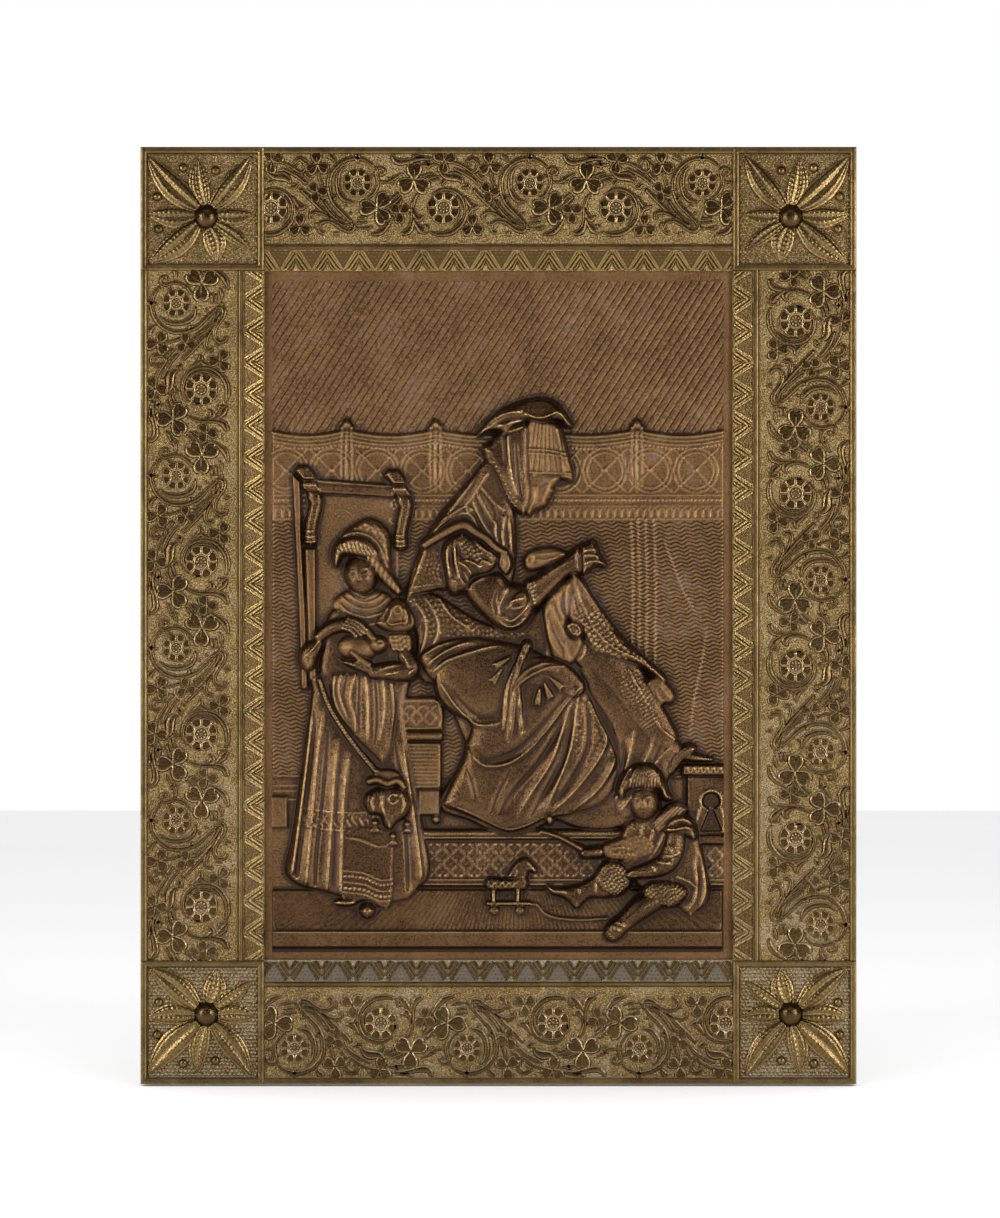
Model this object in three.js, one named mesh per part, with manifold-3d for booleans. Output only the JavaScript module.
// Framed relief plaque: a cast brass frame with a thin copper relief panel let in from behind.
// Millimetres. The plaque hangs on the wall plane Y = 0, its face towards -Y, +Z up, and its origin
// is the middle of the flat back. Everything is modelled lying down (x across, y up the plaque,
// z out of the wall) and the finished group is stood up at the end.
import * as THREE from 'three';
import { mergeVertices } from 'three/addons/utils/BufferGeometryUtils.js';
import Module from 'manifold-3d';

const wasm = await Module();
wasm.setup();

// ---- driving dimensions ----
const WIDTH = 330;          // over the frame
const HEIGHT = 432;
const BLOCK = 57;           // width of a rail, and side of the square corner blocks
const RIB = 3;              // width of the plain ribs
const INNER_RIB = 45;       // where the rib between scroll band and zigzag band starts
const RIB_TOP = 10.8;       // heights are measured out from the wall
const BAND_GROUND = 9.4;
const CELL_GROUND = 8.8;
const LIP_TOP = 6.2;        // inner edge of the sloping zigzag band
const REBATE_WIDTH = 228;   // the recess in the back that takes the panel
const REBATE_HEIGHT = 330;
const REBATE_TOP = 4.3;
const GAP = 0.3;            // play between panel and frame
const FLANGE = 4;           // thickness of the panel's plain margin
const FIELD = 4.8;          // height of the panel's picture field
const UNIT = 79.5;          // one repeat of the scroll
const ZIGZAG = 14.6;        // one repeat of the zigzag

// ---- materials ----
function brass() {
  return new THREE.MeshStandardMaterial({ color: 0x7a6434, roughness: 0.45, metalness: 0.9 });
}

function copper() {
  return new THREE.MeshStandardMaterial({ color: 0x63402b, roughness: 0.42, metalness: 0.9 });
}

// ---- solids ----
function solid(geometry) {
  geometry.deleteAttribute('normal');
  geometry.deleteAttribute('uv');
  const merged = mergeVertices(geometry, 1e-4);
  return new wasm.Manifold(new wasm.Mesh({
    numProp: 3,
    vertProperties: merged.attributes.position.array,
    triVerts: new Uint32Array(merged.index.array),
  }));
}

function join(solids) {
  let list = solids;
  while (list.length > 1) {
    const halved = [];
    for (let i = 0; i < list.length; i += 2) {
      halved.push(i + 1 < list.length ? list[i].add(list[i + 1]) : list[i]);
    }
    list = halved;
  }
  return list[0];
}

function meshOf(body, name, material) {
  const { vertProperties, triVerts } = body.getMesh();
  const geometry = new THREE.BufferGeometry();
  geometry.setAttribute('position', new THREE.BufferAttribute(vertProperties, 3));
  geometry.setIndex(new THREE.BufferAttribute(triVerts, 1));
  const shown = geometry.toNonIndexed();
  shown.computeVertexNormals();
  const mesh = new THREE.Mesh(shown, material);
  mesh.name = name;
  return mesh;
}

// A block between two opposite corners.
function block(x0, x1, y0, y1, z0, z1) {
  const geometry = new THREE.BoxGeometry(x1 - x0, y1 - y0, z1 - z0);
  return solid(geometry.translate((x0 + x1) / 2, (y0 + y1) / 2, (z0 + z1) / 2));
}

// A smooth closed outline through the given points, as a ring of 2-D points.
function outline(points, samples) {
  const curve = new THREE.CatmullRomCurve3(points.map(([x, y]) => new THREE.Vector3(x, y, 0)), true);
  return curve.getPoints(samples).slice(0, -1).map((p) => new THREE.Vector2(p.x, p.y));
}

// A pillow: the outline rises from `foot` to `top`, drawn in to `waist` of its size at two thirds
// of the rise and to `crown` on top. Its foot is buried so that only the rounded part stands out.
function pillow(ring, foot, top, crown = 0.72, waist = 0.95) {
  const shape = new THREE.Shape(ring);
  const geometry = new THREE.ExtrudeGeometry(shape, { depth: 2, steps: 2, bevelEnabled: false });
  const middle = ring.reduce((sum, p) => sum.add(p), new THREE.Vector2()).divideScalar(ring.length);
  const sizes = [1, waist, crown];
  const heights = [foot - 1, foot + 0.66 * (top - foot), top];
  const position = geometry.getAttribute('position');
  for (let i = 0; i < position.count; i += 1) {
    const layer = Math.round(position.getZ(i));
    const size = sizes[layer];
    position.setXYZ(
      i,
      middle.x + size * (position.getX(i) - middle.x),
      middle.y + size * (position.getY(i) - middle.y),
      heights[layer],
    );
  }
  return solid(geometry);
}

// A flat raised shape with straight sides.
function plateau(ring, foot, top) {
  const geometry = new THREE.ExtrudeGeometry(new THREE.Shape(ring), {
    depth: top - foot, bevelEnabled: false,
  });
  return solid(geometry.translate(0, 0, foot));
}

// Sides given to a round form of this radius.
const sidesFor = (radius) => (radius > 7 ? 8 : 6);

// Half an egg: a sphere pressed to the given half-widths, its middle plane at `foot`.
function dome(x, y, wide, high, foot, top, turn = 0) {
  const geometry = new THREE.SphereGeometry(1, sidesFor(Math.max(wide, high)), 4);
  geometry.rotateX(Math.PI / 2).scale(wide, high, top - foot).rotateZ(turn);
  return solid(geometry.translate(x, y, foot));
}

// A pyramid with its peak over the origin and the given outline, counter-clockwise, at its foot.
function pyramid(ring, foot, top) {
  const geometry = new THREE.ConeGeometry(1, top - foot, ring.length).rotateX(Math.PI / 2);
  const position = geometry.getAttribute('position');
  for (let i = 0; i < position.count; i += 1) {
    const [x, y] = [position.getX(i), position.getY(i)];
    if (Math.hypot(x, y) > 0.5) {
      const corner = Math.round((Math.atan2(y, x) / (2 * Math.PI) + 1.25) * ring.length) % ring.length;
      position.setXY(i, ring[corner].x, ring[corner].y);
    }
  }
  return solid(geometry.translate(0, 0, (foot + top) / 2));
}

// A rounded limb lying on the plane `foot`, from one point and radius to the next.
function limb(x0, y0, r0, x1, y1, r1, foot, top) {
  const length = Math.hypot(x1 - x0, y1 - y0);
  const profile = [[0, -0.8 * r0], [r0, 0], [r1, length], [0, length + 0.8 * r1]];
  const geometry = new THREE.LatheGeometry(profile.map(([r, s]) => new THREE.Vector2(r, s)), sidesFor(r0 + 1));
  geometry.scale(1, 1, (top - foot) / Math.max(r0, r1));
  geometry.rotateZ(Math.atan2(y1 - y0, x1 - x0) - Math.PI / 2);
  return solid(geometry.translate(x0, y0, foot));
}

// Limbs end to end through stations [x, y, radius].
function chain(stations, foot, top) {
  return stations.slice(1).map(([x, y, r], i) => limb(...stations[i], x, y, r, foot, top));
}

// A ridge along a smooth path: a long roof of the given half-width, drawn to a point at both ends.
function ridge(points, half, foot, top, samples) {
  const curve = new THREE.CatmullRomCurve3(points.map(([x, y]) => new THREE.Vector3(x, y, 0)));
  const middle = curve.getPoints(samples);
  const side = (sign) => middle.map((p, i) => {
    const ahead = middle[Math.min(i + 1, samples)].clone().sub(middle[Math.max(i - 1, 0)]).normalize();
    const width = i === 0 || i === samples ? 0.35 * half : half;
    return new THREE.Vector3(p.x - sign * ahead.y * width, p.y + sign * ahead.x * width, foot);
  });
  const rows = [side(-1), middle.map((p) => new THREE.Vector3(p.x, p.y, top)), side(1),
    middle.map((p) => new THREE.Vector3(p.x, p.y, foot - 0.5))];
  const geometry = new THREE.PlaneGeometry(1, 1, 4, samples);
  const position = geometry.getAttribute('position');
  for (let i = 0; i < position.count; i += 1) {
    const { x, y, z } = rows[i % 5 % 4][Math.floor(i / 5)];
    position.setXYZ(i, x, y, z);
  }
  const cap = (end, order) => {
    const corners = order.flatMap((k) => rows[k][end].toArray());
    return new THREE.BufferGeometry().setAttribute('position', new THREE.Float32BufferAttribute(corners, 3));
  };
  const parts = [geometry.toNonIndexed(), cap(0, [0, 1, 2, 0, 2, 3]), cap(samples, [0, 2, 1, 0, 3, 2])];
  const all = parts.flatMap((part) => Array.from(part.getAttribute('position').array));
  return solid(new THREE.BufferGeometry().setAttribute('position', new THREE.Float32BufferAttribute(all, 3)));
}

// ---- frame: mouldings ----

// A moulding run round the plaque with mitred corners: profile points are [inset, height], where
// inset is measured inwards from the outer edge. A four-sided turned ring, pulled out to the
// plaque's proportions.
function mouldingRing(profile) {
  const points = [...profile, profile[0]].map(([inset, height]) => (
    new THREE.Vector2((WIDTH / 2 - inset) * Math.SQRT2, height)));
  const geometry = new THREE.LatheGeometry(points, 4, Math.PI / 4).rotateX(Math.PI / 2);
  const position = geometry.getAttribute('position');
  for (let i = 0; i < position.count; i += 1) {
    position.setY(i, position.getY(i) + Math.sign(position.getY(i)) * (HEIGHT - WIDTH) / 2);
  }
  return solid(geometry);
}

function mouldings() {
  const rebateInset = (WIDTH - REBATE_WIDTH) / 2;
  const inner = INNER_RIB + 2.4;
  return mouldingRing([
    [0.8, 0], [0, 0.8], [0, RIB_TOP - 1], [1, RIB_TOP], [RIB - 0.7, RIB_TOP], [RIB, RIB_TOP - 0.7],
    [RIB, BAND_GROUND], [INNER_RIB, BAND_GROUND], [INNER_RIB, RIB_TOP - 0.5], [INNER_RIB + 0.5, RIB_TOP],
    [inner - 0.5, RIB_TOP], [inner, RIB_TOP - 0.5], [inner, BAND_GROUND], [BLOCK, LIP_TOP],
    [BLOCK, REBATE_TOP], [rebateInset, REBATE_TOP], [rebateInset, 0],
  ]);
}

// Square corner block with ribs all round a sunk cell.
function cornerBlock(signX, signY) {
  const span = (sign, size, from, to) => {
    const ends = [sign * (size / 2 - from), sign * (size / 2 - to)];
    return [Math.min(...ends), Math.max(...ends)];
  };
  const outer = block(...span(signX, WIDTH, 1, BLOCK), ...span(signY, HEIGHT, 1, BLOCK), 5, RIB_TOP);
  const cell = block(...span(signX, WIDTH, RIB, BLOCK - RIB), ...span(signY, HEIGHT, RIB, BLOCK - RIB),
    CELL_GROUND, RIB_TOP + 1);
  return { outer, cell };
}

// A pointed leaf from a root point to its tip, highest a third of the way out.
function leaf(rootX, rootY, tipX, tipY, half, foot, top) {
  const length = Math.hypot(tipX - rootX, tipY - rootY);
  const ring = [[0, 0], [0.3, -0.9], [0.7, -0.85], [1, 0], [0.7, 0.85], [0.3, 0.9]]
    .map(([s, w]) => new THREE.Vector2((s - 0.35) * length, w * half));
  const turned = pyramid(ring, foot, top).rotate([0, 0, Math.atan2(tipY - rootY, tipX - rootX) * 180 / Math.PI]);
  return turned.translate([rootX + (tipX - rootX) * 0.35, rootY + (tipY - rootY) * 0.35, 0]);
}

// Corner flower, drawn for the top left corner and mirrored outwards for the others.
function cornerFlower(signX, signY) {
  const bossX = -134.7;
  const bossY = 183.8;
  const turnX = -signX;
  const at = (x, y) => [turnX * (bossX + x), signY * (bossY + y)];
  const foot = CELL_GROUND;
  const longLeaves = [[-27, 28], [21, 28], [-26.5, -21], [19.5, -18]];
  const shortLeaves = [[-4, 27], [-26.5, 2], [21, 1], [5, -21]];
  const leaves = (tips, half, top) => tips.map(([x, y]) => (
    leaf(...at(x * 0.12, y * 0.12), ...at(x, y), half, foot, top)));
  const balls = [[-10.7, 22.7], [4.2, 21.4], [-22.7, 9.4], [-21.9, -5.5]].map(([x, y]) => (
    dome(...at(x, y), 2.3, 2.3, foot, foot + 2.2)));
  return [
    ...leaves(longLeaves, 4.6, foot + 3.2),
    ...leaves(shortLeaves, 4, foot + 2.6),
    dome(...at(0, 0), 5.5, 5.5, foot, foot + 4.7),
    ...balls,
  ];
}

// ---- frame: scroll band ----
// One repeat is drawn with u along the rail and v inwards from the outer edge, rosette A at u = 0.
function rosette(u, v, radius) {
  const top = BAND_GROUND + 0.9;
  const profile = [[0, BAND_GROUND - 1], [radius, BAND_GROUND - 0.5], [radius * 0.9, top], [0, top + 0.3]];
  const geometry = new THREE.LatheGeometry(profile.map(([r, z]) => new THREE.Vector2(r, z)), 8);
  return solid(geometry.rotateX(Math.PI / 2).translate(u, -v, 0));
}

function clover(u, v, size, turn) {
  const ring = [0, 1, 2, 3, 4, 5].map((k) => {
    const radius = k % 2 ? 0.45 * size : 1.1 * size;
    return new THREE.Vector2(radius * Math.cos(turn + k * Math.PI / 3), radius * Math.sin(turn + k * Math.PI / 3));
  });
  return pyramid(ring, BAND_GROUND - 0.5, BAND_GROUND + 1.2).translate([u, -v, 0]);
}

function stem(points, samples) {
  return ridge(points.map(([u, v]) => [u, -v]), 1, BAND_GROUND - 0.1, BAND_GROUND + 0.9, samples);
}

function scrollUnit() {
  return join([
    rosette(0, 17, 6.3),
    rosette(39.7, 28, 7.2),
    stem([[-2, 38], [-11, 29], [-13.5, 18], [-9, 8.5], [0, 4.7], [7.5, 9]], 6),
    stem([[-5, 38], [-15, 27], [-24, 20], [-34, 12]], 2),
    stem([[26, 19], [25, 27], [29, 36], [40, 40.5], [50.5, 33]], 5),
    clover(25.5, 14, 7, 1.57),
    clover(9, 28.5, 6.5, 0.9),
    clover(40.5, 7, 5.5, 0.5),
    clover(-19, 8, 5.5, 1.2),
  ]);
}

// Raised triangles of the zigzag band, one for each repeat, lying on its slope.
function zigzag(halfLength) {
  const inner = INNER_RIB + 2.4;
  const width = BLOCK - inner;
  const slope = Math.atan2(BAND_GROUND - LIP_TOP, width);
  const count = Math.floor((2 * halfLength - 6) / ZIGZAG);
  return Array.from({ length: count }, (_, i) => {
    const ring = [[-6.4, -2.6], [6.4, -2.6], [0, 5.4]].map(([x, y]) => new THREE.Vector2(x, y));
    return pyramid(ring, -0.3, 1.2).translate([0, 0.9 - 0.7 * width, 0]).rotate([slope * 180 / Math.PI, 0, 0])
      .translate([(i - (count - 1) / 2) * ZIGZAG, -inner, BAND_GROUND]);
  });
}

// A rail's ornament, drawn with its outer edge up and then turned to its side of the plaque.
function railOrnament(unit, halfLength, outerEdge, degrees, phase) {
  const turned = (body) => body.translate([0, outerEdge, 0]).rotate([0, 0, degrees]);
  const first = Math.floor((-halfLength - phase) / UNIT) - 1;
  const count = Math.ceil((2 * halfLength) / UNIT) + 3;
  const run = join(Array.from({ length: count }, (_, i) => unit.translate([phase + (first + i) * UNIT, 0, 0])));
  const band = block(-halfLength - 1, halfLength + 1, -INNER_RIB - 0.5, -RIB + 0.5, BAND_GROUND - 1, 12);
  return [turned(run.intersect(band)), ...zigzag(halfLength).map(turned)];
}

function buildFrame() {
  const corners = [[-1, 1], [1, 1], [-1, -1], [1, -1]];
  const blocks = corners.map(([x, y]) => cornerBlock(x, y));
  const unit = scrollUnit();
  const halfWide = WIDTH / 2 - BLOCK;
  const halfTall = HEIGHT / 2 - BLOCK;
  const bare = join([mouldings(), ...blocks.map((b) => b.outer)]).subtract(join(blocks.map((b) => b.cell)));
  const body = join([
    bare,
    ...corners.flatMap(([x, y]) => cornerFlower(x, y)),
    ...railOrnament(unit, halfWide, HEIGHT / 2, 0, 14.5),
    ...railOrnament(unit, halfWide, HEIGHT / 2, 180, 14.5),
    ...railOrnament(unit, halfTall, WIDTH / 2, 90, -15),
    ...railOrnament(unit, halfTall, WIDTH / 2, -90, -16.5),
  ]);
  return meshOf(body, 'frame', brass());
}

// ---- relief panel ----
// Heights in the picture are given above its field.
const above = (height) => FIELD + height;
const raised = (points, samples, height, crown, waist) => (
  pillow(outline(points, samples), FIELD, above(height), crown, waist));
const flat = (x0, x1, y0, y1, height) => block(x0, x1, y0, y1, FIELD - 1, above(height));
const egg = (x, y, wide, high, height, turn) => dome(x, y, wide, high, FIELD, above(height), turn);
const limbs = (stations, height) => chain(stations, FIELD, above(height));
const fold = (points, half, low, high, samples) => (
  ridge(points, half, above(low), above(high), samples));

function plate() {
  const halfX = REBATE_WIDTH / 2 - GAP;
  const halfY = REBATE_HEIGHT / 2 - GAP;
  return [
    block(-halfX, halfX, -halfY, halfY, 0, FLANGE),
    block(-104.5, 104, -155, 154.5, FLANGE - 1, FIELD),
  ];
}

// Patterned wall hanging on studs, its top edge sagging between them.
function hanging() {
  const studs = [-106, -70, -29, 17, 64, 105];
  const swags = studs.slice(1).map((x, i) => {
    const half = (x - studs[i]) / 2;
    const points = [0, 0.25, 0.5, 0.75, 1].map((s) => [
      Math.max(studs[i] + 2 * half * s, -104), 85.5 - 1.8 * Math.sin(Math.PI * s)]);
    return fold(points.map(([px, py]) => [Math.min(px, 103), py]), 1.3, 0.2, 1.3, 2);
  });
  const heads = studs.slice(1, -1).map((x) => egg(x, 87.5, 2.4, 3, 2.4));
  return [flat(-104, 103.5, -73, 83.5, 0.7), ...swags, ...heads];
}

// High-backed chair behind the girl: posts with scrolled tops, back, seat side and front leg.
function chair() {
  return [
    flat(-84, -46, -60, 60, 1.6),
    raised([[-93, 68], [-88, 68], [-84, 63.5], [-86, 60.5], [-91, 61.5]], 7, 5),
    raised([[-52, 65], [-46, 66.5], [-42, 62], [-44, 58], [-49, 60]], 7, 5),
    raised([[-92, 60], [-84, 55], [-81, 51], [-82, 44], [-87, 32], [-91, 36]], 8, 4.2),
    raised([[-50, 57], [-44, 57], [-40.5, 51], [-41, 34], [-45, 32], [-47, 46]], 8, 4.2),
    raised([[-87, 63.5], [-50, 63], [-50, 56], [-87, 57]], 8, 3.2, 0.9),
    ...limbs([[-92, 58, 2.4], [-91, 10, 2.2], [-89, -32, 2.2]], 3.4),
    flat(-90, -84.5, -30, 34, 2.6),
    flat(-48, -26, -52, -38, 2.8),
    flat(-40, -26, -58, -52, 2.2),
    flat(-38.5, -27, -79, -58, 3),
    flat(-39, -27, -91, -79, 3.4),
    egg(-29, -94, 2, 2, 3.4),
  ];
}

// Dais with its moulding, the sloping floor and the ledge along the bottom of the picture.
function dais() {
  const profile = [[-124, -1], [-124, 1.2], [-127, 1.5], [-145, 6.6], [-145.6, 7.5], [-153, 6], [-155, 0.4],
    [-155, -1]];
  const shape = new THREE.Shape(profile.map(([y, h]) => new THREE.Vector2(above(h), y)));
  const floor = new THREE.ExtrudeGeometry(shape, { depth: 204, bevelEnabled: false });
  floor.rotateY(-Math.PI / 2).translate(103, 0, 0);
  return [
    solid(floor),
    flat(-34, 95, -124.5, -101, 1.4),
    flat(-34, 95, -103, -99, 2.6),
    flat(-104, -97, -99, -83, 1.3),
  ];
}

// Girl standing with a rabbit in her arms and a drawstring bag at her hem.
function girl() {
  return [
    raised([[-84, -24], [-88, -50], [-93, -90], [-98, -117], [-91, -125], [-72, -130.5], [-49, -133],
      [-38, -127], [-32, -114], [-37, -85], [-42, -50], [-44, -26], [-62, -20]], 16, 4.4, 0.82, 0.95),
    raised([[-80, -6], [-74, 4], [-60, 5], [-48, 3], [-43, -8], [-44, -28], [-62, -32], [-81, -28]], 10, 5),
    raised([[-77, -26], [-77, -40], [-68, -55], [-55, -67], [-48, -56], [-46, -30], [-60, -24]], 10, 6.2, 0.8),
    fold([[-83, -36], [-88, -75], [-95, -118]], 2.2, 3, 5.6, 2),
    fold([[-78, -50], [-82, -90], [-84, -124]], 2.2, 3, 5.6, 2),
    fold([[-71, -62], [-73, -95], [-73, -128]], 2.2, 3, 5.4, 2),
    fold([[-43, -60], [-40, -90], [-38, -122]], 2.4, 3, 5.4, 2),
    flat(-72, -50, -129, -100, 4.9),
    raised([[-76, 24], [-75, 35], [-68, 42], [-60, 44.5], [-52, 41], [-48, 31], [-49, 22], [-56, 22],
      [-66, 25], [-72, 21]], 11, 7.4, 0.6),
    egg(-62.5, 20, 7.8, 9, 8.4),
    egg(-62, 8, 10.5, 4.5, 5.6),
    ...limbs([[-57, 27, 2.8], [-51, 19, 2.6], [-46, 12, 2]], 8),
    egg(-47.5, -3, 10, 9.5, 8),
    ...limbs([[-45, -12, 5], [-41, -23, 5.2]], 7.6),
    ...limbs([[-41, -26, 4.4], [-57, -24.5, 3.6], [-71, -20.5, 2.8]], 9.4),
    ...limbs([[-79, -7, 4], [-88, -18, 5.6]], 7.4),
    ...limbs([[-83, -9, 2.8], [-74, -5, 2.8], [-62, -8, 2.2]], 8.4),
    egg(-63, -15, 11, 6.4, 9),
    egg(-54.5, -13.5, 5, 4.4, 10),
    ...limbs([[-58, -9.5, 1.6], [-61, -3, 1.4]], 8.4),
    ...limbs([[-81, -34, 1.2], [-74, -48, 1.2], [-57, -71, 1.2]], 7),
    ...limbs([[-58, -76, 1.6], [-44, -77.5, 1.6]], 8),
    raised([[-61, -82], [-61, -89], [-52, -97], [-44, -96], [-40, -89], [-42, -80], [-52, -78]], 10, 8),
    egg(-57, -96.5, 2.8, 2.8, 6.6),
    egg(-48, -102.5, 2.8, 3.2, 6.6),
    egg(-42, -97, 2.4, 2.8, 6.6),
    egg(-60.5, -135.5, 4.2, 3.8, 9),
    egg(-70, -132.5, 5.5, 2, 6),
  ];
}

// Woman seated in a hooded headdress and wide sleeves, leaning forward with both arms out.
function woman() {
  return [
    raised([[-2, 74], [-13, 60], [-26, 46], [-37, 30], [-41, 14], [-38, -4], [-10, 0], [6, 8], [9, 36],
      [10, 50], [6, 66]], 14, 4.2, 0.8),
    raised([[-1, 86], [-7, 80], [-5, 72], [2, 59], [10, 46], [16, 50], [16, 64], [14, 88]], 11, 7, 0.75),
    raised([[-9, 83], [-1, 92], [10, 99], [22, 100], [29, 95], [33, 87], [26, 89], [14, 90], [4, 86]], 13, 8.6, 0.7),
    raised([[13, 88], [27, 87], [31, 78], [34, 63], [13, 65]], 8, 6.4, 0.85),
    raised([[13, 64], [27, 62], [24, 58], [22.5, 54], [20.5, 50], [14, 47]], 10, 5.8),
    raised([[-33, 33], [-25, 38.5], [-16, 42.5], [-8, 38], [-1, 31], [7, 27], [6, 21], [0, 17], [-10, 16],
      [-17, 9.5], [-23, 10], [-25, 20]], 14, 8.4, 0.62),
    ...limbs([[-31, 34, 2], [-17, 41.5, 2.4], [-7, 36.5, 2]], 9.2),
    ...limbs([[-8, 12, 7], [5, 1, 6.4]], 9),
    ...limbs([[4, 5, 3.2], [12, 9, 2.6]], 9.8),
    ...limbs([[17, 10, 5.2], [28, 18, 5.2], [37, 26, 5]], 7.4),
    raised([[37, 31], [43, 35], [46, 29], [49, 23.5], [44, 22.5], [37, 22]], 8, 7.6),
    raised([[12, 25], [16, 30.5], [24, 31], [31, 28], [24, 23.5], [15, 22]], 8, 4.6),
    raised([[-41, 8], [-38, -14], [-34, -30], [-24, -44], [-15, -60], [-22, -78], [-26, -88], [-10, -96],
      [4, -102], [24, -95], [46, -99], [64, -94], [76, -78], [86, -62], [76, -48], [62, -24], [46, -12],
      [38, 4], [30, 14], [14, 0], [-10, -2], [-28, 10]], 26, 4.6, 0.9, 0.97),
    ...limbs([[-16, -14, 16], [10, -19, 16], [36, -33, 11]], 9),
    ...limbs([[38, -6, 9], [54, -18, 9], [68, -42, 8.5], [80, -57, 5.5]], 7.6),
    ...limbs([[81, -58, 4], [90, -64, 3], [97, -66, 1.6]], 6.6),
    raised([[33, 19], [38, 16], [46, 5], [58, -11], [77, -29], [64, -21], [50, -19], [41, -14], [34, -6],
      [30, 4]], 13, 7.2, 0.7),
    raised([[73, -29], [81, -37], [78, -42], [73, -44], [70, -36]], 6, 5.4),
    raised([[20, 0], [32, -4], [38, -10], [38, -18], [30, -23], [24, -18]], 8, 8.2),
    ...limbs([[12, -14, 3], [7, -30, 3], [4, -54, 2.6]], 10),
    egg(19, -36, 3.5, 6.5, 9.6, -0.3),
    egg(-1, -27, 2.8, 6, 10, -0.7),
    fold([[-27, -31], [-17, -46], [-9, -51], [-2, -48]], 2.2, 4, 8, 3),
    fold([[-13, -62], [-5, -70], [10, -66], [22, -52], [32, -38]], 3, 4, 8.6, 5),
    fold([[34, -36], [30, -66], [10, -92]], 4, 4, 8, 3),
    fold([[40, -36], [46, -54], [24, -90]], 4, 4, 7.4, 3),
    fold([[60, -50], [56, -72], [36, -93]], 4, 4, 7, 3),
    fold([[72, -52], [68, -70], [56, -92]], 4, 4, 6.6, 2),
    fold([[-4, -94], [5, -99.5], [24, -93.5], [36, -91.5]], 2, 4, 6.4, 3),
  ];
}

// Boy sitting on the floor, pulling a toy horse along.
function boy() {
  return [
    egg(66, -80, 11.5, 12.5, 8.8),
    egg(67.5, -85.5, 7.4, 8.6, 9.8),
    raised([[56, -97], [72, -92], [86, -90], [92, -104], [97, -126], [90, -138], [80, -134], [66, -126],
      [58, -116], [52, -104]], 11, 6.4, 0.75),
    egg(82, -97.5, 8.6, 7, 10),
    ...limbs([[81, -102, 4.6], [80, -115, 5], [62, -119, 2.8]], 9.6),
    ...limbs([[62, -108, 4], [50, -108, 3.6], [41, -109.5, 2.4]], 7.4),
    ...limbs([[40, -108.5, 0.9], [25, -100.5, 0.9]], 5.2),
    ...limbs([[57, -119, 6.4], [42, -126, 4.6], [36, -130, 3.8]], 6.8),
    ...limbs([[36, -129, 3], [25, -126.5, 2]], 6.4),
    ...limbs([[85, -127, 7.5], [72, -128, 7]], 9.4),
    ...limbs([[68, -131, 5], [57, -140, 4.2], [54, -145, 4.6]], 11),
  ];
}

function toyHorse() {
  return [
    ...limbs([[-4, -123.5, 2.6], [11, -123.5, 2.8]], 5),
    ...limbs([[9, -122, 2.4], [12, -114, 2], [16, -117, 1.4]], 5),
    flat(-3, -0.4, -133, -122, 4),
    flat(7.6, 10.2, -133, -122, 4),
    flat(-5, 13, -134.5, -132.5, 4.8),
    egg(-2, -136, 2.8, 2.8, 5.6),
    egg(10, -136, 2.8, 2.8, 5.6),
  ];
}

function stool() {
  const foot = FIELD - 1;
  const keyhole = join([
    plateau(outline([[98, -82], [94, -86], [98, -90], [102, -86]], 10), above(1.2), above(5)),
    plateau([[98, -86], [92.5, -100], [103.5, -100]].map(([x, y]) => new THREE.Vector2(x, y)), above(1.2), above(5)),
  ]);
  const body = block(87.5, 104, -101, -74, foot, above(3));
  return [
    body.subtract(keyhole),
    flat(85, 104, -73.5, -68.5, 4),
    flat(91, 104, -105, -101, 3.6),
  ];
}

function buildReliefPanel() {
  const picture = join([
    ...hanging(), ...chair(), ...dais(), ...girl(), ...woman(), ...boy(), ...toyHorse(), ...stool(),
  ]);
  const room = block(-104, 104, -155, 160, 0.5, 40);
  return meshOf(join([...plate(), picture.intersect(room)]), 'relief_panel', copper());
}

const group = new THREE.Group();
group.name = 'relief_plaque';
group.add(buildFrame(), buildReliefPanel());
group.rotation.x = Math.PI / 2;

export default group;
